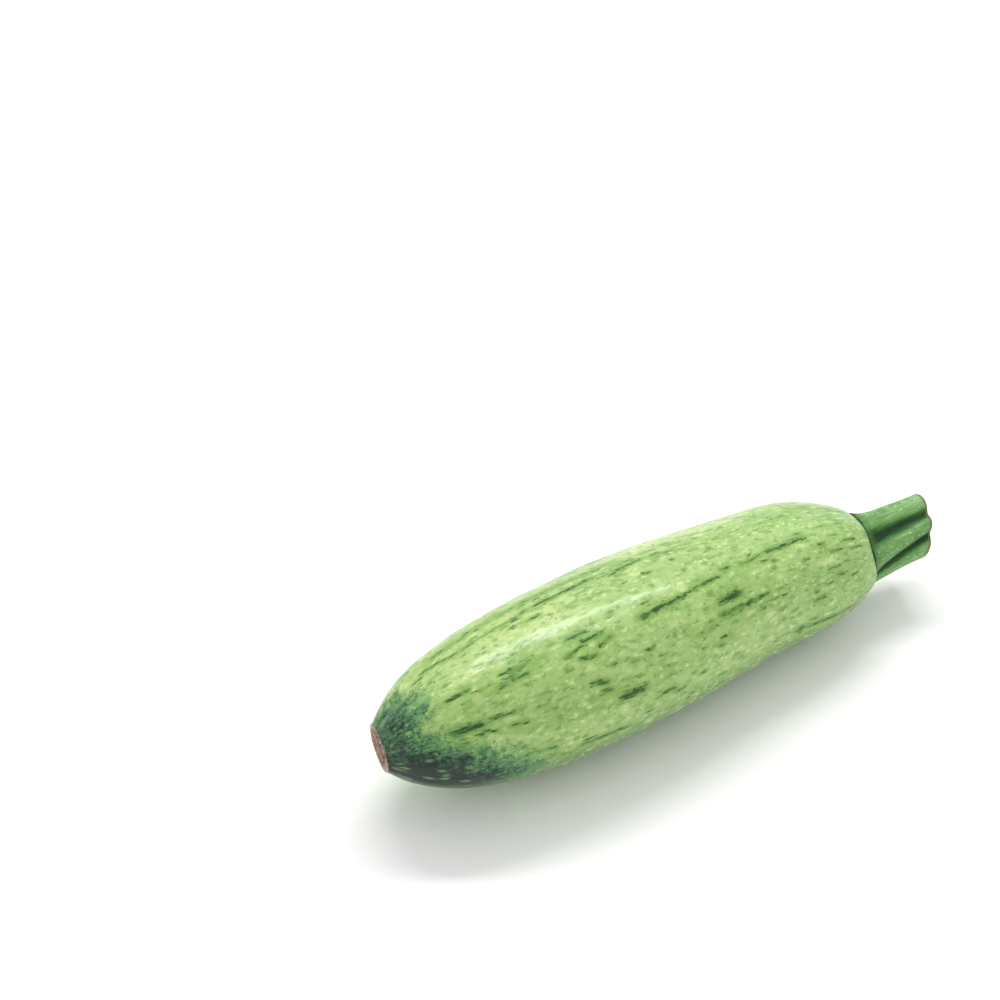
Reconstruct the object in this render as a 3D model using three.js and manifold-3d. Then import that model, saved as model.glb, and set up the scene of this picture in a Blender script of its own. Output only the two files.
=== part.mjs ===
// A pale green zucchini, picked with a stub of its stem.
//
// Millimetres, +Z up. The fruit lies along X on the surface z = 0: the blossom end points
// to -X and the cut stem to +X. The origin is below the middle of the whole vegetable.
// A cross-section is named by s, its distance from the blossom scar along the fruit, and a
// direction in it by its turn, from 0 at +Y through +Z.

import * as THREE from 'three';
import { mergeVertices } from 'three/addons/utils/BufferGeometryUtils.js';
import Module from 'manifold-3d';

// Driving dimensions of the fruit
const FRUIT_LENGTH = 165;
const SCAR_RADIUS = 7;
const SCAR_DISH = 0.8;
const GIRTH_AT = 72; // the thickest section
const GIRTH_RADIUS = 25;
const WAIST_AT = 133; // where the taper slows before the shoulder
const WAIST_RADIUS = 21.4;
const SEAT_RADIUS = 12; // where the stem grows out of the fruit

// Its outline in three curves of [s, radius]: an end, two handles and the other end
const DOME = [[0, SCAR_RADIUS], [6.3, 14.1], [18, GIRTH_RADIUS], [GIRTH_AT, GIRTH_RADIUS]];
const NECK = [[GIRTH_AT, GIRTH_RADIUS], [103, GIRTH_RADIUS], [109, 22.3], [WAIST_AT, WAIST_RADIUS]];
const SHOULDER = [[WAIST_AT, WAIST_RADIUS], [149, 20.9], [163, 16], [FRUIT_LENGTH, SEAT_RADIUS]];

// How the fruit departs from a turned shape
const WIDER = 1.02; // it settled a little wider than tall
const LOWER = 0.98;
const RIBS = 5;
const RIB_TURN = 45;
const RIB_HEIGHT = 0.3; // along the middle
const RIB_HEIGHT_AT_ENDS = 0.8;
const RIB_FADE_RADIUS = 14; // nearer to the axis than this, the ribs fade out
const SIDE_BEND = -1.2; // sideways place of the axis at half length
const SIDE_SWAY = -2.3; // sideways place of the blossom half, and opposite that of the neck
const DROOP = 0.0006; // fall of the axis, times the square of the distance from its top
const AXIS_TOP_AT = 61;
const NECK_LIFT = 2.5; // how far the neck turns up again at the stem
const NECK_LIFT_POWER = 8; // and how late along the fruit
const BELLY_FLAT_DEPTH = 0.45; // how deep the belly is pressed flat

// Driving dimensions of the stem
const STEM_LENGTH = 22.5;
const STEM_FOOT_RADIUS = 11.9;
const STEM_CUT_RADIUS = 10.2;
const STEM_CUT_DISH = 0.6;
const STEM_SIDE = -0.05; // sideways way for each millimetre along the stem
const CUT_LEAN = [0.21, 0.23]; // how far the knife cut leans forward with +Y and with +Z
const GROOVE_DEPTH = 2.4;
// The grooves wind round the stem: each is [turn, width] at the foot and then at the cut, in
// degrees, where the width is from the middle of the groove to half its depth
const GROOVES = [
  [[52, 16], [32, 13]],
  [[126, 24], [114, 13]],
  [[196, 14], [157, 13]],
  [[262, 16], [234, 15]],
  [[330, 16], [304, 15]],
];
const JOINT_GAP = 0.3; // between the fruit and the stem

const SIDES = 60;
const DOME_STEPS = 16;
const NECK_STEPS = 7;
const SHOULDER_STEPS = 13;
const STEM_STEPS = 7;

// One curve of an outline as lathe points.
function curvePoints(curve, steps) {
  const corners = curve.map(([s, radius]) => new THREE.Vector2(radius, s));
  return new THREE.CubicBezierCurve(...corners).getPoints(steps);
}

// Turns an outline round the X axis, then moves every vertex to where place(s, radius, turn) says.
function grow(outline, place) {
  const geometry = new THREE.LatheGeometry(outline, SIDES);
  geometry.rotateZ(-Math.PI / 2);
  const vertices = geometry.attributes.position;
  for (let i = 0; i < vertices.count; i += 1) {
    const y = vertices.getY(i);
    const z = vertices.getZ(i);
    vertices.setXYZ(i, ...place(vertices.getX(i), Math.hypot(y, z), Math.atan2(z, y)));
  }
  return geometry;
}

// The fruit's axis: its place at s, and how far it moves to the side and up for each millimetre.
function axisAt(s) {
  const u = s / FRUIT_LENGTH;
  const bend = 4 * u * (1 - u);
  const bendSlope = 4 * (1 - 2 * u);
  const sway = 10.4 * u * (1 - u) * (1 - 2 * u);
  const swaySlope = 10.4 * (1 - 6 * u + 6 * u * u);
  const liftSlope = NECK_LIFT * NECK_LIFT_POWER * u ** (NECK_LIFT_POWER - 1) / FRUIT_LENGTH;
  return {
    side: SIDE_BEND * bend + SIDE_SWAY * sway,
    height: -DROOP * (s - AXIS_TOP_AT) ** 2 + NECK_LIFT * u ** NECK_LIFT_POWER,
    sideSlope: (SIDE_BEND * bendSlope + SIDE_SWAY * swaySlope) / FRUIT_LENGTH,
    heightSlope: -2 * DROOP * (s - AXIS_TOP_AT) + liftSlope,
  };
}

function ribHeight(s, radius, turn) {
  const towardsEnds = (2 * s / FRUIT_LENGTH - 1) ** 2;
  const height = THREE.MathUtils.lerp(RIB_HEIGHT, RIB_HEIGHT_AT_ENDS, towardsEnds);
  const fade = Math.min(1, radius / RIB_FADE_RADIUS) ** 2;
  return height * fade * Math.cos(RIBS * (turn - THREE.MathUtils.degToRad(RIB_TURN)));
}

// Each section of the fruit stands square to its axis.
function placeOnFruit(s, radius, turn) {
  const axis = axisAt(s);
  const ribbed = radius + ribHeight(s, radius, turn);
  const side = ribbed * Math.cos(turn) * WIDER;
  const up = ribbed * Math.sin(turn) * LOWER;
  const forward = -axis.sideSlope * side - axis.heightSlope * up;
  return [s + forward, axis.side + side, axis.height + up];
}

// Depth of the stem's lengthwise grooves at a turn, from 0 on a rib to 1 in a groove.
function groove(turn, cutShare) {
  const depths = GROOVES.map(([atFoot, atCut]) => {
    const [middle, width] = atFoot.map(
      (degrees, i) => THREE.MathUtils.degToRad(THREE.MathUtils.lerp(degrees, atCut[i], cutShare)),
    );
    const apart = turn - middle;
    const off = Math.atan2(Math.sin(apart), Math.cos(apart)) / width;
    return 1 / (1 + off * off);
  });
  return Math.max(...depths);
}

// The stem's sections turn from the lean of the fruit's seat to the lean of the knife cut.
function placeOnStem(s, radius, turn) {
  const seat = axisAt(FRUIT_LENGTH);
  const along = s - FRUIT_LENGTH;
  const cutShare = along / STEM_LENGTH;
  const leanY = THREE.MathUtils.lerp(-seat.sideSlope, CUT_LEAN[0], cutShare);
  const leanZ = THREE.MathUtils.lerp(-seat.heightSlope, CUT_LEAN[1], cutShare);
  const grooved = radius * (1 - GROOVE_DEPTH / STEM_FOOT_RADIUS * groove(turn, cutShare));
  const side = grooved * Math.cos(turn);
  const up = grooved * Math.sin(turn);
  return [
    s + leanY * side + leanZ * up,
    seat.side + STEM_SIDE * along + side,
    seat.height + up,
  ];
}

const wasm = await Module();
wasm.setup();

function toSolid(geometry) {
  const bare = geometry.clone();
  bare.deleteAttribute('normal');
  bare.deleteAttribute('uv');
  const merged = mergeVertices(bare, 1e-4);
  return new wasm.Manifold(new wasm.Mesh({
    numProp: 3,
    vertProperties: new Float32Array(merged.attributes.position.array),
    triVerts: new Uint32Array(merged.index.array),
  }));
}

function toGeometry(solid) {
  const { vertProperties, triVerts } = solid.getMesh();
  const geometry = new THREE.BufferGeometry();
  geometry.setAttribute('position', new THREE.BufferAttribute(vertProperties, 3));
  geometry.setIndex(new THREE.BufferAttribute(triVerts, 1));
  geometry.computeVertexNormals();
  return geometry;
}

// Cuts away what lies below the surface z = 0.
function pressedFlat(geometry) {
  const below = new THREE.BoxGeometry(4 * FRUIT_LENGTH, 4 * GIRTH_RADIUS, GIRTH_RADIUS);
  below.translate(0, 0, -GIRTH_RADIUS / 2);
  return toGeometry(toSolid(geometry).subtract(toSolid(below)));
}

const fruitShape = grow([
  new THREE.Vector2(0, SCAR_DISH),
  new THREE.Vector2(SCAR_RADIUS / 2, SCAR_DISH * 0.8),
  ...curvePoints(DOME, DOME_STEPS),
  ...curvePoints(NECK, NECK_STEPS).slice(1),
  ...curvePoints(SHOULDER, SHOULDER_STEPS).slice(1),
  new THREE.Vector2(0, FRUIT_LENGTH),
], placeOnFruit);

const foot = FRUIT_LENGTH + JOINT_GAP;
const cut = FRUIT_LENGTH + STEM_LENGTH;
const stemSide = [[foot, STEM_FOOT_RADIUS], [foot + 8, 10.8], [cut - 8, 10], [cut, STEM_CUT_RADIUS]];
const stemShape = grow([
  new THREE.Vector2(0, foot),
  ...curvePoints(stemSide, STEM_STEPS),
  new THREE.Vector2(0, cut - STEM_CUT_DISH),
], placeOnStem);

fruitShape.computeBoundingBox();
const lift = -fruitShape.boundingBox.min.z - BELLY_FLAT_DEPTH;
fruitShape.translate(0, 0, lift);
stemShape.translate(0, 0, lift);

const skin = new THREE.MeshStandardMaterial({ color: '#9bbd78', roughness: 0.4, metalness: 0 });
const rind = new THREE.MeshStandardMaterial({ color: '#6f9c5e', roughness: 0.6, metalness: 0 });

const fruit = new THREE.Mesh(pressedFlat(fruitShape), skin);
fruit.name = 'fruit';
const stem = new THREE.Mesh(stemShape, rind);
stem.name = 'stem';

const zucchini = new THREE.Group();
zucchini.add(fruit, stem);

const middle = new THREE.Box3().setFromObject(zucchini).getCenter(new THREE.Vector3());
zucchini.position.set(-middle.x, -middle.y, 0);

export default zucchini;
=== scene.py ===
"""A pale green zucchini with a stub of its stem, lying on its belly.

The fruit and the stem are each turned as an outline round the X axis, then every vertex is moved
to its grown place: bent, ribbed, furrowed and pressed flat underneath. A cross-section is named by
s, its distance from the blossom scar, and a direction in it by its turn, in degrees from +Y
through +Z. The shapes are worked out in millimetres and scaled to metres at the end.
"""

import math
import random

import bmesh
import bpy
import numpy as np
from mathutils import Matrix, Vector, noise
from mathutils.geometry import interpolate_bezier


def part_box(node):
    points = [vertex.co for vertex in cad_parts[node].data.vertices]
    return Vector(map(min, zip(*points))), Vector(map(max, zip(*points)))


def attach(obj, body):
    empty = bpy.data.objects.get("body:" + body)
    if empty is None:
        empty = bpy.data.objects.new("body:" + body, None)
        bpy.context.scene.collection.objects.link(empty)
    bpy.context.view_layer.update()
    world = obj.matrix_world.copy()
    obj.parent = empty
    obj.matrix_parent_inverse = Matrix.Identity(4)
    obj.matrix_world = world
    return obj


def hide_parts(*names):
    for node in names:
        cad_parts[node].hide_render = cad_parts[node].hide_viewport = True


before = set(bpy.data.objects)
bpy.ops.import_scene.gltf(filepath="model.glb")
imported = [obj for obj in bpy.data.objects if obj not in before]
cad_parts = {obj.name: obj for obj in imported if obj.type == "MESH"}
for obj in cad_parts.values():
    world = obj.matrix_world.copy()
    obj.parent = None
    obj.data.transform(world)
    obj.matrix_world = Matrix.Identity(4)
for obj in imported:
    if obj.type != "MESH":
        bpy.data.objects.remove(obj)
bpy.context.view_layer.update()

MM = 0.001

# The fruit's outline as curves of (s, radius): an end, two handles and the other end, all in mm
SCAR_RADIUS = 7
SCAR_DISH = 1.1  # how deep the scar is sunk
FRUIT_LENGTH = 165
GIRTH_RADIUS = 25
SEAT_RADIUS = 12
CREVICE_DEPTH = 1.2  # how deep the stem is set in the fruit
SCAR = [(SCAR_DISH, 0), (SCAR_DISH, 3.5), (0.2, 5.5), (0, SCAR_RADIUS)]
DOME = [(0, SCAR_RADIUS), (6.3, 14.1), (18, GIRTH_RADIUS), (72, GIRTH_RADIUS)]
NECK = [(72, GIRTH_RADIUS), (103, GIRTH_RADIUS), (109, 22.3), (133, 21.4)]
SHOULDER = [(133, 21.4), (149, 20.9), (163, 16), (FRUIT_LENGTH, SEAT_RADIUS)]
SEAT = [(FRUIT_LENGTH, SEAT_RADIUS), (FRUIT_LENGTH, 11), (FRUIT_LENGTH - CREVICE_DEPTH, 10),
        (FRUIT_LENGTH - CREVICE_DEPTH, 0)]
FRUIT_OUTLINE = [(SCAR, 14), (DOME, 118), (NECK, 82), (SHOULDER, 66), (SEAT, 8)]  # curve, steps
FRUIT_SIDES = 320
MARGIN = 0.01  # for telling which curve a vertex came from

# How the fruit departs from a turned shape
WIDER = 1.02
LOWER = 0.98
RIBS = 5
RIB_TURN = 45
RIB_HEIGHT = 0.3
RIB_HEIGHT_AT_ENDS = 0.8
RIB_FADE_RADIUS = 14
SIDE_BEND = -1.2  # the axis bends sideways in one arc, by this much in its middle
SIDE_SWAY = -2.3  # and in an S, by this much at the top of each of its arcs
SWAY_SCALE = 10.4  # brings the S to a height of 1
DROOP = 0.0006
AXIS_TOP_AT = 61
NECK_LIFT = 2.5
NECK_LIFT_POWER = 8
BELLY_PRESS = 0.6  # how far the belly is pressed in where it touches the floor

# Unevenness of the skin, as (height, length across, length along) in mm
SWELLS = (0.4, 14, 40)
DENTS = (0.2, 4.5, 14)
PITS = (0.07, 1.7, 3.2)
SMOOTH_AT_SCAR = (2, 14)  # the swells and dents rise over this stretch from the scar
SMOOTH_AT_STEM = (3, 12)  # and over this one from the stem
LOBES_FROM_STEM = (24, 2)  # the shoulder takes on the stem's ribs over this stretch
LOBE_HEIGHT = 0.6
LOBE_DEPTH = 1.6

# Furrows that run out from the blossom scar, as (turn, length in mm)
SCAR_FURROWS = [
    (8, 9), (41, 13), (79, 8), (113, 14), (150, 10),
    (187, 12), (222, 9), (258, 14), (295, 8), (331, 12),
]
FURROW_DEPTH = 0.5
FURROW_SPREAD = 7  # degrees

# The scar: its rim, inner ring and foot of the style, as (radius, half width, height), its dried
# splits, and the crumble of the cork
SCAR_RIDGES = [(6.5, 0.8, 0.45), (4.1, 0.5, 0.25), (0, 1.1, 0.8)]
SCAR_SPLITS = [17, 88, 152, 201, 262, 327]
SPLIT_DEPTH = 0.4
SPLIT_HALF_WIDTH = 0.35
CRUMB_HEIGHT = 0.16
CRUMB_LENGTH = 0.9

# The stem. Its grooves wind round it: each is (turn, width) at the foot and then at the cut.
STEM_LENGTH = 22.5
STEM_FOOT_RADIUS = 11.9
STEM_CUT_RADIUS = 10.2
STEM_SIDES = 260
SIDE_SLOPE = -0.05  # how far the stem's axis goes to the side for each mm along it
CUT_LEAN = (0.21, 0.23)  # how far the cut leans forward for each mm to the side, and up
CUT_RIM = 9.5  # the radius of the cut inside its lip
CUT_DISH = 0.9
OFF_THE_CUT = 1.2  # stands for "further out than the cut's edge", which is 1
GROOVE_DEPTH = 2.4
GROOVE_AT_FOOT = 0.3  # the share of that depth at the stem's foot
GROOVES = [
    ((52, 16), (32, 13)),
    ((126, 24), (114, 13)),
    ((196, 14), (157, 13)),
    ((262, 16), (234, 15)),
    ((330, 16), (304, 15)),
]
STEM_WIND = 36  # how far the rind's own grain winds round on the way to the cut
BUNDLES = 10  # strands of vessels that show as dots on the cut
BUNDLE_RADIUS = 6.6
BUNDLE_HALF_SIZE = (0.64, 0.7)  # across and outwards
BUNDLE_HEIGHT = 0.25
FLESH_GRAIN_HEIGHT = 0.12
FLESH_GRAIN_LENGTH = 0.8


# ---------------------------------------------------------------- shapes

def outline(curves):
    """The points of several curves end to end: each entry is a curve and its number of steps."""
    points = []
    for curve, steps in curves:
        corners = [Vector((s, radius, 0)) for s, radius in curve]
        run = interpolate_bezier(*corners, steps + 1)
        points += run[1:] if points else run
    return points


def turned(points, sides):
    """A closed bmesh made by spinning the outline round the X axis."""
    mesh = bmesh.new()
    verts = [mesh.verts.new(point) for point in points]
    for start, end in zip(verts, verts[1:]):
        mesh.edges.new((start, end))
    bmesh.ops.spin(
        mesh, geom=mesh.verts[:] + mesh.edges[:], cent=(0, 0, 0), axis=(1, 0, 0),
        angle=2 * math.pi, steps=sides, use_merge=True,
    )
    bmesh.ops.remove_doubles(mesh, verts=mesh.verts[:], dist=1e-5)
    bmesh.ops.recalc_face_normals(mesh, faces=mesh.faces[:])
    return mesh


def polar(vert):
    """The s, radius and turn of a vertex of a turned shape."""
    radius = math.hypot(vert.co.y, vert.co.z)
    return vert.co.x, radius, math.degrees(math.atan2(vert.co.z, vert.co.y)) % 360


def finish_piece(mesh, name, shift):
    """Moves the bmesh into the frame, scales it to metres and makes it an object."""
    bmesh.ops.translate(mesh, verts=mesh.verts[:], vec=shift)
    bmesh.ops.scale(mesh, verts=mesh.verts[:], vec=(MM, MM, MM))
    data = bpy.data.meshes.new(name)
    mesh.to_mesh(data)
    mesh.free()
    data.shade_smooth()
    piece = bpy.data.objects.new(name, data)
    bpy.context.collection.objects.link(piece)
    return piece


def ease(low, high, value):
    """0 below low, 1 above high, and smooth between them."""
    share = min(1, max(0, (value - low) / (high - low)))
    return share * share * (3 - 2 * share)


def mix(start, end, share):
    """The value a share of the way from start to end."""
    return start + (end - start) * share


def turn_apart(turn, other):
    """The angle from one turn to another, in degrees."""
    return (turn - other + 180) % 360 - 180


def bell(off):
    """1 in the middle, falling away smoothly on both sides."""
    return math.exp(-off * off)


def unevenness(s, turn, kind, seed):
    """Noise of a kind that lies on the fruit. Each seed takes it from another stretch of noise."""
    height, across, along = kind
    angle = math.radians(turn)
    return height * noise.noise(Vector((
        GIRTH_RADIUS * math.cos(angle) / across,
        GIRTH_RADIUS * math.sin(angle) / across,
        s / along + 37 * seed,
    )))


def axis_at(s):
    """The fruit's axis at s: its place to the side and up, and how both change with s."""
    u = s / FRUIT_LENGTH
    bend = 4 * u * (1 - u)
    bend_slope = 4 * (1 - 2 * u)
    sway = SWAY_SCALE * u * (1 - u) * (1 - 2 * u)
    sway_slope = SWAY_SCALE * (1 - 6 * u + 6 * u * u)
    side = SIDE_BEND * bend + SIDE_SWAY * sway
    side_slope = (SIDE_BEND * bend_slope + SIDE_SWAY * sway_slope) / FRUIT_LENGTH
    height = -DROOP * (s - AXIS_TOP_AT) ** 2 + NECK_LIFT * u ** NECK_LIFT_POWER
    lift_slope = NECK_LIFT * NECK_LIFT_POWER * u ** (NECK_LIFT_POWER - 1) / FRUIT_LENGTH
    return side, height, side_slope, -2 * DROOP * (s - AXIS_TOP_AT) + lift_slope


def groove_at(turn, cut_share):
    """How deep in a groove of the stem a turn is, from 0 on a rib to 1."""
    depths = []
    for at_foot, at_cut in GROOVES:
        middle = mix(at_foot[0], at_cut[0], cut_share)
        width = mix(at_foot[1], at_cut[1], cut_share)
        off = turn_apart(turn, middle) / width
        depths.append(1 / (1 + off * off))
    return max(depths)


def rib_height(s, radius, turn):
    """How far the fruit's five low ribs stand out, in mm."""
    height = mix(RIB_HEIGHT, RIB_HEIGHT_AT_ENDS, (2 * s / FRUIT_LENGTH - 1) ** 2)
    fade = min(1, radius / RIB_FADE_RADIUS) ** 2
    return height * fade * math.cos(math.radians(RIBS * (turn - RIB_TURN)))


def skin_relief(s, radius, turn):
    """How far the skin stands out from the plain outline, in mm."""
    open_skin = ease(*SMOOTH_AT_SCAR, s) * ease(*SMOOTH_AT_STEM, FRUIT_LENGTH - s)
    swells = unevenness(s, turn, SWELLS, 0)
    dents = unevenness(s, turn, DENTS, 1)
    pits = unevenness(s, turn, PITS, 2)
    furrows = 0.0
    for furrow_turn, length in SCAR_FURROWS:
        reach = ease(0, 1.5, s) * ease(0, 1, 1 - s / length)
        furrows += FURROW_DEPTH * reach * bell(turn_apart(turn, furrow_turn) / FURROW_SPREAD)
    lobes_start, lobes_end = (FRUIT_LENGTH - away for away in LOBES_FROM_STEM)
    lobes = ease(lobes_start, lobes_end, s) * (LOBE_HEIGHT - LOBE_DEPTH * groove_at(turn, 0))
    return (swells + dents) * open_skin + pits - furrows + lobes + rib_height(s, radius, turn)


def scar_relief(radius, turn):
    """How far the corky blossom scar stands out along the fruit, in mm."""
    ridges = 0.0
    for middle, half_width, height in SCAR_RIDGES:
        ridges += height * bell((radius - middle) / half_width)
    splits = 0.0
    for split_turn in SCAR_SPLITS:
        across = radius * math.radians(turn_apart(turn, split_turn))
        splits = max(splits, SPLIT_DEPTH * bell(across / SPLIT_HALF_WIDTH))
    splits *= ease(1.2, 2.2, radius) * ease(0.2, 1.6, SCAR_RADIUS - radius)
    angle = math.radians(turn)
    spot = Vector((radius * math.cos(angle), radius * math.sin(angle), 9))
    crumbs = CRUMB_HEIGHT * noise.noise(spot / CRUMB_LENGTH) * ease(0, 1, SCAR_RADIUS - radius)
    return ridges - splits + crumbs


def grow_fruit():
    """The fruit in mm. Its skin_place says where each vertex lies on a straight, even fruit."""
    mesh = turned(outline(FRUIT_OUTLINE), FRUIT_SIDES)
    places = mesh.verts.layers.float_vector.new("skin_place")
    for vert in mesh.verts:
        s, radius, turn = polar(vert)
        angle = math.radians(turn)
        skin_s = s
        if s < SCAR_DISH + MARGIN and radius < SCAR_RADIUS:
            skin_s = radius - SCAR_RADIUS
        if s > FRUIT_LENGTH - CREVICE_DEPTH - MARGIN and radius < SEAT_RADIUS:
            skin_s = FRUIT_LENGTH + SEAT_RADIUS - radius
        vert[places] = Vector((
            GIRTH_RADIUS * math.cos(angle), GIRTH_RADIUS * math.sin(angle), skin_s,
        )) * MM
        stands_out = 0.0
        if radius < SCAR_RADIUS + 0.5 and s < FRUIT_LENGTH / 2:
            stands_out = scar_relief(radius, turn)
        radius += skin_relief(s, radius, turn) * ease(SCAR_RADIUS - 2, SCAR_RADIUS, radius)
        side_at, height_at, side_slope, height_slope = axis_at(s)
        side = radius * math.cos(angle) * WIDER
        up = radius * math.sin(angle) * LOWER
        forward = -side_slope * side - height_slope * up
        vert.co = (s + forward - stands_out, side_at + side, height_at + up)
    return mesh


def stem_relief(s, turn, cut_share):
    """How far the rind of the stem stands out beside its grooves, in mm."""
    # each noise has a width in degrees, a length in mm and a seed
    wind = turn + STEM_WIND * cut_share
    strands = 0.13 * noise.noise(Vector((wind / 5.5, s / 30, 3)))
    bristle_feet = 0.22 * max(0, noise.noise(Vector((wind / 4.2, s / 0.9, 8))) - 0.35)
    lumps = 0.25 * noise.noise(Vector((wind / 28, s / 7, 5)))
    return strands + bristle_feet + lumps


def grow_stem():
    """The stem in mm. Its stem_place is (depth in a groove, share of the way to the cut, distance
    from the middle of the cut), and its stem_strand is 1 on the strands of the cut."""
    foot = FRUIT_LENGTH - CREVICE_DEPTH - 0.2  # a little into the fruit, so that no gap shows
    top = FRUIT_LENGTH + 0.6
    cut = FRUIT_LENGTH + STEM_LENGTH
    heel = (foot, 11.4)
    waist = (top, STEM_FOOT_RADIUS + 0.3)
    edge = (cut - 0.3, STEM_CUT_RADIUS)
    base = [(foot, 0), (foot, 4), (foot, 8), heel]
    flare = [heel, (foot + 0.5, 12.8), (top - 0.3, 12.6), waist]
    side = [waist, (top + 5, 11), (cut - 8, 9.9), edge]
    lip = [edge, (cut, STEM_CUT_RADIUS), (cut + 0.1, 9.9), (cut, CUT_RIM)]
    face = [(cut, CUT_RIM), (cut - 0.6, 8.4), (cut - 0.3, 4), (cut - CUT_DISH, 0)]
    mesh = turned(outline([(base, 4), (flare, 8), (side, 90), (lip, 5), (face, 34)]), STEM_SIDES)
    places = mesh.verts.layers.float_vector.new("stem_place")
    strands = mesh.verts.layers.float.new("stem_strand")
    side_at, height_at, side_slope, height_slope = axis_at(FRUIT_LENGTH)
    for vert in mesh.verts:
        s, radius, turn = polar(vert)
        angle = math.radians(turn)
        along = s - FRUIT_LENGTH
        cut_share = min(1, max(0, along / STEM_LENGTH))
        groove = groove_at(turn, cut_share)
        from_middle = radius / STEM_CUT_RADIUS if s > cut - 1 else OFF_THE_CUT
        vert[places] = (groove, cut_share, from_middle)
        stands_out = 0.0
        if s > cut - CUT_DISH - 0.05 and radius < CUT_RIM + 0.1:
            across = radius * math.sin(math.radians(turn * BUNDLES / 2)) * 2 / BUNDLES
            outwards = radius - BUNDLE_RADIUS
            strand = bell(across / BUNDLE_HALF_SIZE[0]) * bell(outwards / BUNDLE_HALF_SIZE[1])
            vert[strands] = strand
            stands_out += BUNDLE_HEIGHT * strand
            spot = Vector((radius * math.cos(angle), radius * math.sin(angle), 2))
            stands_out += FLESH_GRAIN_HEIGHT * noise.noise(spot / FLESH_GRAIN_LENGTH)
        else:
            radius += stem_relief(s, turn, cut_share)
        depth = GROOVE_DEPTH * mix(GROOVE_AT_FOOT, 1, ease(-1, 4, along))
        radius *= 1 - depth / STEM_FOOT_RADIUS * groove
        side = radius * math.cos(angle)
        up = radius * math.sin(angle)
        lean = mix(-side_slope, CUT_LEAN[0], cut_share) * side
        lean += mix(-height_slope, CUT_LEAN[1], cut_share) * up
        vert.co = (s + lean + stands_out, side_at + SIDE_SLOPE * along + side, height_at + up)
    return mesh


def press_belly(mesh, shift):
    """Rounds the underside off onto the floor that it will meet when moved by shift."""
    for vert in mesh.verts:
        z = vert.co.z + shift.z
        if z < BELLY_PRESS:
            vert.co.z = max(0, z + BELLY_PRESS) ** 2 / (4 * BELLY_PRESS) - shift.z


def shift_to_frame(mesh):
    """The move that brings the fruit over its CAD solid, its lowest point pressed into the floor."""
    low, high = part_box("fruit")
    ys = [vert.co.y for vert in mesh.verts]
    x = low.x / MM - min(vert.co.x for vert in mesh.verts)
    y = (low.y + high.y) / 2 / MM - (min(ys) + max(ys)) / 2
    return Vector((x, y, -BELLY_PRESS - min(vert.co.z for vert in mesh.verts)))


# ---------------------------------------------------------------- where the skin is marked

# Dark green streaks as (s and turn at the start, s and turn at the end, half width in mm, strength)
TOP_FLANK_STREAKS = [
    (17, 69, 27, 75, 0.9, 0.8), (22, 61, 80, 64, 2.4, 0.45), (26, 74, 104, 77, 1.1, 0.35),
    (29, 75, 50, 74, 0.9, 0.6), (54, 73, 73, 73, 1.0, 0.9), (80, 76, 89, 76, 0.9, 0.9),
    (92, 77, 101, 78, 0.8, 0.6), (112, 80, 140, 82, 1.1, 0.35), (156, 79, 162, 80, 1.1, 1.0),
]
UPPER_SIDE_STREAKS = [
    (18, 113, 23, 113, 1.0, 1.0), (24, 116, 31, 117, 0.7, 0.6), (32, 120, 41, 112, 2.6, 0.6),
    (33, 113, 36, 113, 0.8, 1.0), (35, 120, 39, 120, 0.9, 1.0), (51, 122, 55, 119, 1.0, 0.9),
    (54, 111, 59, 112, 1.0, 0.9), (55, 127, 58, 128, 1.2, 0.9), (57, 117, 63, 117, 0.9, 1.0),
    (61, 124, 64, 122, 0.8, 0.9), (76, 119, 89, 118, 1.2, 1.0), (89, 118, 97, 116, 1.0, 0.8),
    (98, 116, 104, 115, 0.9, 1.0), (107, 111, 109, 111, 0.9, 1.0), (114, 113, 126, 111, 1.3, 0.7),
    (124, 111, 137, 110, 1.3, 1.0), (146, 128, 150, 128, 0.9, 0.8), (153, 121, 157, 121, 0.9, 0.9),
    (155, 130, 159, 130, 0.8, 0.9),
]
LOWER_SIDE_STREAKS = [
    (17, 141, 22, 141, 2.0, 1.2), (24, 147, 26, 150, 1.2, 0.9), (26, 139, 32, 141, 0.8, 1.0),
    (31, 150, 34, 151, 1.2, 0.7), (55, 145, 58, 147, 1.2, 0.8), (57, 152, 59, 153, 1.1, 0.9),
    (90, 146, 96, 145, 2.0, 0.4), (100, 141, 110, 141, 1.5, 0.9), (102, 132, 108, 131, 1.7, 1.1),
    (110, 141, 118, 140, 1.2, 0.9), (143, 141, 148, 141, 0.8, 0.6),
]
LOW_FLANK_STREAKS = [
    (20, 172, 29, 178, 1.5, 0.9), (33, 176, 40, 178, 1.1, 0.6), (49, 186, 62, 187, 1.2, 0.8),
    (63, 162, 68, 162, 1.6, 1.2), (75, 173, 78, 173, 1.1, 0.9), (79, 176, 82, 176, 1.0, 0.7),
    (96, 158, 101, 157, 2.0, 0.4), (127, 181, 153, 187, 1.6, 0.8), (136, 162, 139, 162, 1.0, 1.0),
]
LISTED_STREAKS = TOP_FLANK_STREAKS + UPPER_SIDE_STREAKS + LOWER_SIDE_STREAKS + LOW_FLANK_STREAKS
LISTED_TURNS = (60, 195)  # the side of the fruit that these lists cover

# Streaks and specks gather in ten bands along the fruit, over the veins
BANDS = 10
BAND_TURNS = 360 // BANDS
FIRST_BAND = 4
SCATTERED_STREAKS = 260
SCATTERED_SPECKS = 420

# A streak is darkest along its middle and fades out from it, more slowly past its ends
STREAK_PEAK = 1.3
STREAK_FALL = 1.5
FALL_PAST_ENDS = 0.6

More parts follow.
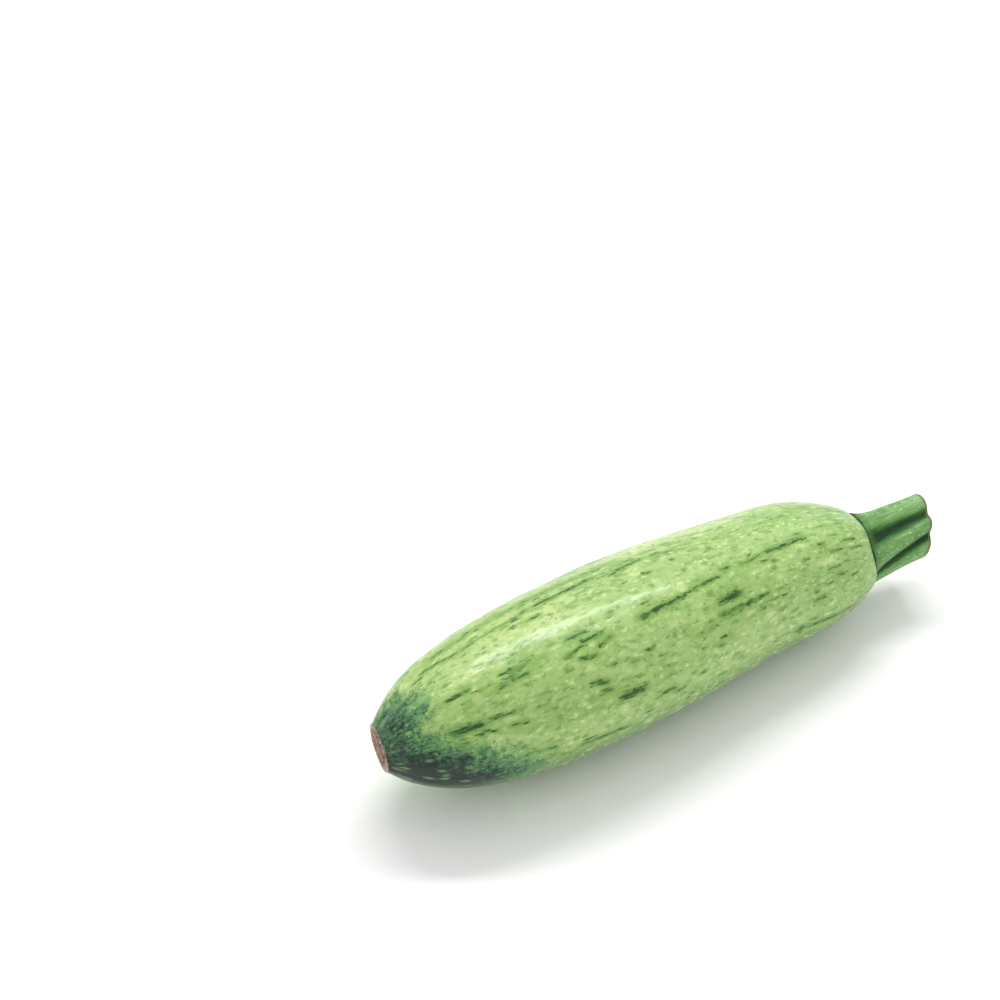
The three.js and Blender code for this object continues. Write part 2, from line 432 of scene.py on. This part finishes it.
# The dark cap at the blossom end: its reach in mm and its strength, and how much further and
# stronger it is on two flanks, as (turn, spread, further, stronger)
CAP_PEAK = 1.3
CAP_REACH = 9
CAP_STRENGTH = 0.62
CAP_RAYS = 3
# on the low flank at turn 196 the cap's extra reach and darkness are partly the skin's own dark
# green and partly painted shade
CAP_FLANKS = [(196, 44, 27, 0.88), (104, 30, 6, 0.26)]


def scattered_streaks():
    """Streaks for the turns that the lists don't cover."""
    dice = random.Random(4)
    streaks = []
    for _ in range(SCATTERED_STREAKS):
        band = FIRST_BAND + BAND_TURNS * dice.randrange(BANDS)
        turn = (band + dice.gauss(0, 5)) % 360
        s = dice.uniform(10, 158)
        length = dice.choice((2, 3, 5, 8, 12))
        drift = dice.uniform(-1.5, 1.5)
        half_width = dice.uniform(0.6, 1.3)
        strength = dice.uniform(0.5, 1.1)
        if not LISTED_TURNS[0] < turn < LISTED_TURNS[1]:
            streaks.append((s, turn, s + length, turn + drift, half_width, strength))
    return streaks


def scattered_specks():
    """Short dark specks strewn all round the fruit."""
    dice = random.Random(9)
    specks = []
    for _ in range(SCATTERED_SPECKS):
        band = FIRST_BAND + BAND_TURNS * dice.randrange(BANDS)
        turn = (band + dice.gauss(0, 7)) % 360
        s = dice.uniform(8, 160)
        length = dice.uniform(0.5, 2.5)
        half_width = dice.uniform(0.45, 0.8)
        strength = dice.uniform(0.45, 0.95)
        specks.append((s, turn, s + length, turn, half_width, strength))
    return specks


def streak_strength(s, turn):
    """How dark the streaks are at each place."""
    darkest = np.zeros(len(s))
    streaks = LISTED_STREAKS + scattered_streaks() + scattered_specks()
    for start, start_turn, end, end_turn, half_width, strength in streaks:
        share = np.clip((s - start) / (end - start), 0, 1)
        middle = mix(start_turn, end_turn, share)
        across = np.radians(turn_apart(turn, middle)) * GIRTH_RADIUS
        beyond = (s - np.clip(s, start, end)) * FALL_PAST_ENDS
        off = np.hypot(across, beyond) / half_width
        darkness = strength * STREAK_PEAK / (1 + (STREAK_FALL * off) ** 2)
        darkest = np.maximum(darkest, darkness)
    return darkest


def cap_strength(s, turn):
    """How dark the cap at the blossom end is at each place: its edge is drawn out in rays."""
    rays = np.sin(np.radians(turn * 9 + 40)) * np.sin(np.radians(turn * 5 + 10))
    reach = CAP_REACH + CAP_RAYS * rays
    strength = CAP_STRENGTH
    for flank_turn, spread, further, stronger in CAP_FLANKS:
        flank = np.exp(-(turn_apart(turn, flank_turn) / spread) ** 2)
        reach = reach + further * flank
        strength = strength + stronger * flank
    return np.clip(CAP_PEAK - s / reach, 0, 1) * strength


def paint_skin(piece):
    """Writes where the streaks, the dark cap and the cork are, as the attribute skin_marks."""
    data = piece.data
    place = np.empty(len(data.vertices) * 3, dtype=np.float32)
    data.attributes["skin_place"].data.foreach_get("vector", place)
    side, up, s = place.reshape(-1, 3).T / MM
    turn = np.degrees(np.arctan2(up, side)) % 360
    cork = np.clip(0.5 - s / 1.6, 0, 1)  # one half on the rim of the scar
    marks = np.stack([streak_strength(s, turn), cap_strength(s, turn), cork], axis=1)
    attribute = data.attributes.new("skin_marks", "FLOAT_VECTOR", "POINT")
    attribute.data.foreach_set("vector", marks.astype(np.float32).ravel())


fruit_mesh = grow_fruit()
shift = shift_to_frame(fruit_mesh)
press_belly(fruit_mesh, shift)
fruit = finish_piece(fruit_mesh, "zucchini_fruit", shift)
paint_skin(fruit)
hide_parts("fruit")
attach(fruit, "root")

stem = finish_piece(grow_stem(), "zucchini_stem", shift)
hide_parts("stem")
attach(stem, "root")


# ---------------------------------------------------------------- materials

# Sockets of a colour mixing node
FACTOR, UNDER, OVER, MIXED = 0, 6, 7, 2


def linear(hex_colour):
    """A colour written as sRGB hex, in the linear values that nodes take."""
    channels = [int(hex_colour[i:i + 2], 16) / 255 for i in (1, 3, 5)]
    return (*[c / 12.92 if c <= 0.04045 else ((c + 0.055) / 1.055) ** 2.4 for c in channels], 1)


def add(tree, kind, inputs=(), **settings):
    """Adds a node and gives its outputs. An input gets a value, or a link to another's output."""
    node = tree.nodes.new(kind)
    for name, value in settings.items():
        setattr(node, name, value)
    for key, value in dict(inputs).items():
        if isinstance(value, bpy.types.NodeSocket):
            tree.links.new(value, node.inputs[key])
        else:
            node.inputs[key].default_value = value
    return node.outputs


def new_material(name):
    """An empty material and its node tree."""
    material = bpy.data.materials.new(name)
    material.use_nodes = True
    material.node_tree.nodes.clear()
    return material, material.node_tree


def layered(tree, ground, layers):
    """Lays colours over the ground. Each layer is (value, low, high, most, colour): the colour
    covers nothing where the value is low, and a share called most where it is high."""
    colour = linear(ground)
    for value, low, high, most, over in layers:
        cover = add(tree, "ShaderNodeMapRange", {
            "Value": value, "From Min": low, "From Max": high, "To Max": most,
        }, interpolation_type="SMOOTHSTEP")[0]
        colour = add(tree, "ShaderNodeMix", {
            FACTOR: cover, UNDER: colour, OVER: linear(over) if isinstance(over, str) else over,
        }, data_type="RGBA")[MIXED]
    return colour


def frayed(tree, mark, threads, raggedness, low, high, most=1):
    """The start of a layer that covers where a mark goes from low to high, with the mark's edge
    pulled to and fro by a noise."""
    pulled = add(tree, "ShaderNodeMath", {
        0: threads, 1: raggedness, 2: mark,
    }, operation="MULTIPLY_ADD")[0]
    middle = 0.5 * raggedness
    return pulled, low + middle, high + middle, most


PAINTED_SHADE_SIDE = (-0.57, -0.82, 0)  # turn 235, the low side, where painted shade greys and darkens the skin


def dry_cork(tree, along):
    """The scar where the flower fell: tissue that dried to cork, with a ring and a style foot.

    It crumbles in grains of about 0.9 mm, so it looks rough and brown beside the skin.
    """
    spot = add(tree, "ShaderNodeTexCoord")["Object"]
    grain = add(tree, "ShaderNodeTexNoise", {
        "Vector": spot, "Scale": 1 / (0.9 * MM), "Detail": 4.0, "Roughness": 0.7,
    })[0]
    ragged_along = add(tree, "ShaderNodeMath", {
        0: grain, 1: 1.6 * MM, 2: along,
    }, operation="MULTIPLY_ADD")[0]
    inner_ring = add(tree, "ShaderNodeMath", {
        0: ragged_along, 1: -2.2 * MM, 2: 0.5 * MM,
    }, operation="COMPARE")[0]
    return layered(tree, "#8f6a51", [
        (grain, 0.5, 0.68, 1, "#c19c80"),
        (grain, 0.48, 0.34, 1, "#4a2f22"),
        (inner_ring, 0, 1, 1, "#573828"),
        (ragged_along, -4.4 * MM, -5.2 * MM, 1, "#3c261b"),
    ])


def waxy_skin():
    """The rind of a young summer squash: a thin waxy cuticle over cells full of chlorophyll.

    It grew from a ground of pale flecks, where the cells hold little green, between darker
    streaks over the veins. To the eye it is a mottled, softly glossy light green. The flecks
    of the real skin are 0.3 to 2 mm across. Those under 0.8 mm are drawn at 0.8 mm, and its
    pores of 0.1 mm at 0.5 mm, since finer ones would not show.
    """
    material, tree = new_material("waxy_zucchini_skin")
    place = add(tree, "ShaderNodeAttribute", attribute_name="skin_place")["Vector"]
    marks = add(tree, "ShaderNodeAttribute", attribute_name="skin_marks")["Vector"]
    streak, cap, cork = add(tree, "ShaderNodeSeparateXYZ", {0: marks})
    along = add(tree, "ShaderNodeSeparateXYZ", {0: place})[2]
    spot = add(tree, "ShaderNodeTexCoord")["Object"]

    # The skin's grain, drawn out along the fruit as it grew, and the same grain made wavy
    long_grain = add(tree, "ShaderNodeMapping", {"Vector": place, "Scale": (1, 1, 0.3)})[0]
    short_grain = add(tree, "ShaderNodeMapping", {"Vector": place, "Scale": (1, 1, 0.6)})[0]
    waves = add(tree, "ShaderNodeTexNoise", {
        "Vector": place, "Scale": 1 / (1.4 * MM), "Detail": 2.0,
    })[1]
    wavy_grain = add(tree, "ShaderNodeVectorMath", {
        0: waves, 1: (1.5 * MM, 1.5 * MM, 1.5 * MM), 2: short_grain,
    }, operation="MULTIPLY_ADD")[0]

    # What the edges of the marks are frayed by, from long fine threads to wide blotches
    fine_threads = add(tree, "ShaderNodeTexNoise", {
        "Vector": long_grain, "Scale": 1 / (0.8 * MM), "Detail": 3.0, "Roughness": 0.7,
    })[0]
    coarse_threads = add(tree, "ShaderNodeTexNoise", {
        "Vector": short_grain, "Scale": 1 / (2.4 * MM), "Detail": 3.0, "Roughness": 0.7,
    })[0]
    small_blotches = add(tree, "ShaderNodeTexNoise", {
        "Vector": spot, "Scale": 1 / (1.5 * MM), "Detail": 3.0, "Roughness": 0.7,
    })[0]
    wide_blotches = add(tree, "ShaderNodeTexNoise", {
        "Vector": spot, "Scale": 1 / (3.4 * MM), "Detail": 3.0, "Roughness": 0.65,
    })[0]

    def clouds(grain, size, low, high, most=1):
        """The start of a layer of soft patches of a size in mm, where a noise is high."""
        fog = add(tree, "ShaderNodeTexNoise", {
            "Vector": grain, "Scale": 1 / (size * MM), "Detail": 3.0, "Roughness": 0.6,
        })[0]
        return fog, low, high, most

    def flecks(size, width, share, strength=1.0):
        """The start of a layer of spots of a width in mm, on a share of the cells of a size."""
        cell = add(tree, "ShaderNodeTexVoronoi", {
            "Vector": wavy_grain, "Scale": 1 / (size * MM),
        })
        chosen = add(tree, "ShaderNodeMath", {
            0: cell["Color"], 1: share,
        }, operation="LESS_THAN")[0]
        most = add(tree, "ShaderNodeMath", {0: chosen, 1: strength}, operation="MULTIPLY")[0]
        return cell["Distance"], width / size, 0, most

    towards_painted_shade = add(tree, "ShaderNodeVectorMath", {
        0: place, 1: PAINTED_SHADE_SIDE,
    }, operation="DOT_PRODUCT")[1]
    girth = GIRTH_RADIUS * MM
    colour = layered(tree, "#a5c575", [
        # the ground, greener at the neck, with painted shade greying the low side
        (*clouds(long_grain, 12, 0.42, 0.7), "#90b45e"),
        (*clouds(long_grain, 20, 0.5, 0.7), "#b9d081"),
        (along, 100 * MM, 175 * MM, 0.6, "#80ae61"),
        (towards_painted_shade, 0.5 * girth, 0.92 * girth, 1, "#65835a"),
        # mottling and flecks
        (*clouds(long_grain, 4.5, 0.5, 0.72, 0.55), "#7fa854"),
        (*clouds(short_grain, 2.2, 0.5, 0.68, 0.85), "#6c9945"),
        (*clouds(wavy_grain, 1.3, 0.53, 0.68, 0.7), "#c2da8e"),
        (*flecks(2.1, 0.9, 0.6), "#cbe299"),
        (*flecks(4.6, 1.9, 0.4), "#c2d990"),
        (*flecks(2.8, 0.8, 0.4), "#6a9546"),
        (*flecks(4.2, 1.1, 0.35), "#4a7a28"),
        (*flecks(7.5, 1.4, 0.3), "#376a1c"),
        # streaks, from their soft border to their dark middle
        (*frayed(tree, streak, coarse_threads, 1.4, 0.0, 0.5), "#8cb157"),
        (*frayed(tree, streak, coarse_threads, 1.8, 0.35, 1.1), "#6b984a"),
        (*frayed(tree, streak, fine_threads, 4.2, 0.55, 1.2), "#42721c"),
        (*frayed(tree, streak, fine_threads, 4.0, 0.95, 1.5), "#1a4602"),
        # the dark cap at the blossom end, with pale flecks in it
        (*frayed(tree, cap, wide_blotches, 1.8, 0.05, 0.85), "#5e9453"),
        (*frayed(tree, cap, small_blotches, 3.0, 0.3, 0.95), "#3a7044"),
        (*frayed(tree, cap, fine_threads, 3.0, 0.55, 1.15), "#1b452b"),
        (*frayed(tree, cap, small_blotches, 2.6, 0.78, 1.2), "#071e10"),
        (*flecks(2.4, 1.2, 0.5, cap), "#5e8a5a"),
        # both ends: the shade in the crevice round the stem, and the scar
        (along, (FRUIT_LENGTH - 0.6) * MM, (FRUIT_LENGTH + 0.2) * MM, 1, "#1c3a14"),
        (*frayed(tree, cork, coarse_threads, 1.0, 0.4, 0.6), dry_cork(tree, along)),
    ])
    pores = add(tree, "ShaderNodeTexNoise", {
        "Vector": place, "Scale": 1 / (0.5 * MM), "Detail": 2.0,
    })[0]
    pitted = add(tree, "ShaderNodeBump", {
        "Height": pores, "Strength": 0.25, "Distance": 0.1 * MM,
    })[0]
    shader = add(tree, "ShaderNodeBsdfPrincipled", {
        "Base Color": colour, "Roughness": 0.44, "Specular IOR Level": 0.3,
        "Coat Weight": 0.45, "Coat Roughness": 0.2, "Normal": pitted,
    })
    add(tree, "ShaderNodeOutputMaterial", {"Surface": shader[0]})
    return material


def stem_rind():
    """The ridged stalk, cut with a knife: tough green rind over pale pith.

    It grew as five ribs of long fibres set with short bristles about 2 mm apart, so it looks
    drawn out lengthwise and duller than the fruit. The cut has dried: an olive edge, pale flesh
    and a ring of strands. Its fibres are about 0.2 mm thick and are drawn at 0.9 mm, so that
    they show.
    """
    material, tree = new_material("ridged_stem_rind")
    place = add(tree, "ShaderNodeAttribute", attribute_name="stem_place")["Vector"]
    strand = add(tree, "ShaderNodeAttribute", attribute_name="stem_strand")["Fac"]
    groove, cut_share, from_middle = add(tree, "ShaderNodeSeparateXYZ", {0: place})
    spot = add(tree, "ShaderNodeTexCoord")["Object"]
    fibre_grain = add(tree, "ShaderNodeMapping", {"Vector": spot, "Scale": (0.1, 1, 1)})[0]
    fibres = add(tree, "ShaderNodeTexNoise", {
        "Vector": fibre_grain, "Scale": 1 / (0.9 * MM), "Detail": 3.0, "Roughness": 0.7,
    })[0]
    blotches = add(tree, "ShaderNodeTexNoise", {
        "Vector": spot, "Scale": 1 / (2.5 * MM), "Detail": 3.0,
    })[0]
    bristles = add(tree, "ShaderNodeTexVoronoi", {"Vector": spot, "Scale": 1 / (1.9 * MM)})[0]

    colour = layered(tree, "#6c9a57", [
        # the rind: a painted highlight lightening the ribs, then fibres, blotches and the feet of
        # the bristles
        (groove, 0.3, 0.1, 1, "#86b071"),
        (fibres, 0.5, 0.66, 0.75, "#99bf80"),
        (fibres, 0.46, 0.3, 0.85, "#3f7536"),
        (blotches, 0.5, 0.66, 0.7, "#5c8c4a"),
        (bristles, 0.22, 0.1, 0.7, "#c2d7a0"),
        # painted shade: the grooves darkened, and the foot darkened where it meets the fruit
        (*frayed(tree, groove, fibres, 0.5, 0.5, 0.8), "#2c6220"),
        (*frayed(tree, groove, fibres, 0.5, 0.73, 1.0), "#093205"),
        (*frayed(tree, cut_share, blotches, 0.1, 0.17, 0, 0.7), "#456f35"),
        (*frayed(tree, cut_share, blotches, 0.1, 0.04, 0), "#1a3a10"),
        # the cut: its dried edge, flesh, pith, ring of strands and middle
        (from_middle, 1.06, 0.98, 1, "#6a6a3e"),
        (*frayed(tree, from_middle, blotches, 0.22, 0.97, 0.87), "#a0b27b"),
        (*frayed(tree, from_middle, blotches, 0.22, 0.67, 0.44), "#c9d2a8"),
        (strand, 0.2, 0.8, 0.8, "#7c9559"),
        (*frayed(tree, from_middle, blotches, 0.22, 0.19, 0.05, 0.8), "#9a9a68"),
    ])
    shader = add(tree, "ShaderNodeBsdfPrincipled", {
        "Base Color": colour, "Roughness": 0.6, "Specular IOR Level": 0.3,
    })
    add(tree, "ShaderNodeOutputMaterial", {"Surface": shader[0]})
    return material


def matt_paper():
    """A sweep of white paper: pressed pulp with no coating, so it is bright, even and dull."""
    material, tree = new_material("matt_white_paper")
    shader = add(tree, "ShaderNodeBsdfPrincipled", {
        "Base Color": linear("#fcfcfb"), "Roughness": 0.9,
    })
    add(tree, "ShaderNodeOutputMaterial", {"Surface": shader[0]})
    return material


fruit.data.materials.append(waxy_skin())
stem.data.materials.append(stem_rind())


# ---------------------------------------------------------------- studio

# The camera, in mm and degrees: its direction and distance, and how far its aim lies to the left
# of and above the fruit's middle
CAMERA_AZIMUTH = -31.5
CAMERA_ELEVATION = 40
CAMERA_DISTANCE = 807.4
CAMERA_LENS = 100
AIM_HEIGHT = 25
AIM_LEFT = 47.9
AIM_UP = 36.4
FLOOR_HALF_WIDTH = 3  # metres
SKY_STRENGTH = 0.85


def floor():
    """A flat sheet of paper, far wider than the view."""
    data = bpy.data.meshes.new("floor")
    mesh = bmesh.new()
    bmesh.ops.create_grid(mesh, x_segments=1, y_segments=1, size=FLOOR_HALF_WIDTH)
    mesh.to_mesh(data)
    mesh.free()
    piece = bpy.data.objects.new("floor", data)
    bpy.context.collection.objects.link(piece)
    data.materials.append(matt_paper())


def softbox(name, direction, distance, size, power, target):
    """A rectangular light at a distance in metres from the target, facing it."""
    data = bpy.data.lights.new(name, "AREA")
    data.shape = "RECTANGLE"
    data.size, data.size_y = size
    data.energy = power
    lamp = bpy.data.objects.new(name, data)
    lamp.location = target + Vector(direction).normalized() * distance
    lamp.rotation_euler = Vector(direction).to_track_quat("Z", "Y").to_euler()
    bpy.context.collection.objects.link(lamp)


def camera():
    """Looks down on the fruit's side, with the fruit low on the right of the view."""
    azimuth = math.radians(CAMERA_AZIMUTH)
    elevation = math.radians(CAMERA_ELEVATION)
    back = Vector((
        math.sin(azimuth) * math.cos(elevation),
        -math.cos(azimuth) * math.cos(elevation),
        math.sin(elevation),
    ))
    right = Vector((math.cos(azimuth), math.sin(azimuth), 0))
    up = back.cross(right)
    aim = (Vector((0, 0, AIM_HEIGHT)) - AIM_LEFT * right + AIM_UP * up) * MM
    data = bpy.data.cameras.new("camera")
    data.lens = CAMERA_LENS
    data.clip_start = 0.01
    eye = bpy.data.objects.new("camera", data)
    eye.location = aim + back * CAMERA_DISTANCE * MM
    eye.rotation_euler = back.to_track_quat("Z", "Y").to_euler()
    bpy.context.collection.objects.link(eye)
    bpy.context.scene.camera = eye


def sky():
    """An even white light from all round."""
    world = bpy.data.worlds.new("studio")
    world.use_nodes = True
    background = world.node_tree.nodes["Background"]
    background.inputs["Color"].default_value = linear("#ffffff")
    background.inputs["Strength"].default_value = SKY_STRENGTH
    bpy.context.scene.world = world


floor()
sky()
softbox(
    "overhead_strip", direction=(0.25, 0.45, 0.86), distance=0.75, size=(0.6, 0.075), power=3.2,
    target=Vector((0, 0, 0.03)),
)
camera()
bpy.context.scene.view_settings.view_transform = "Standard"
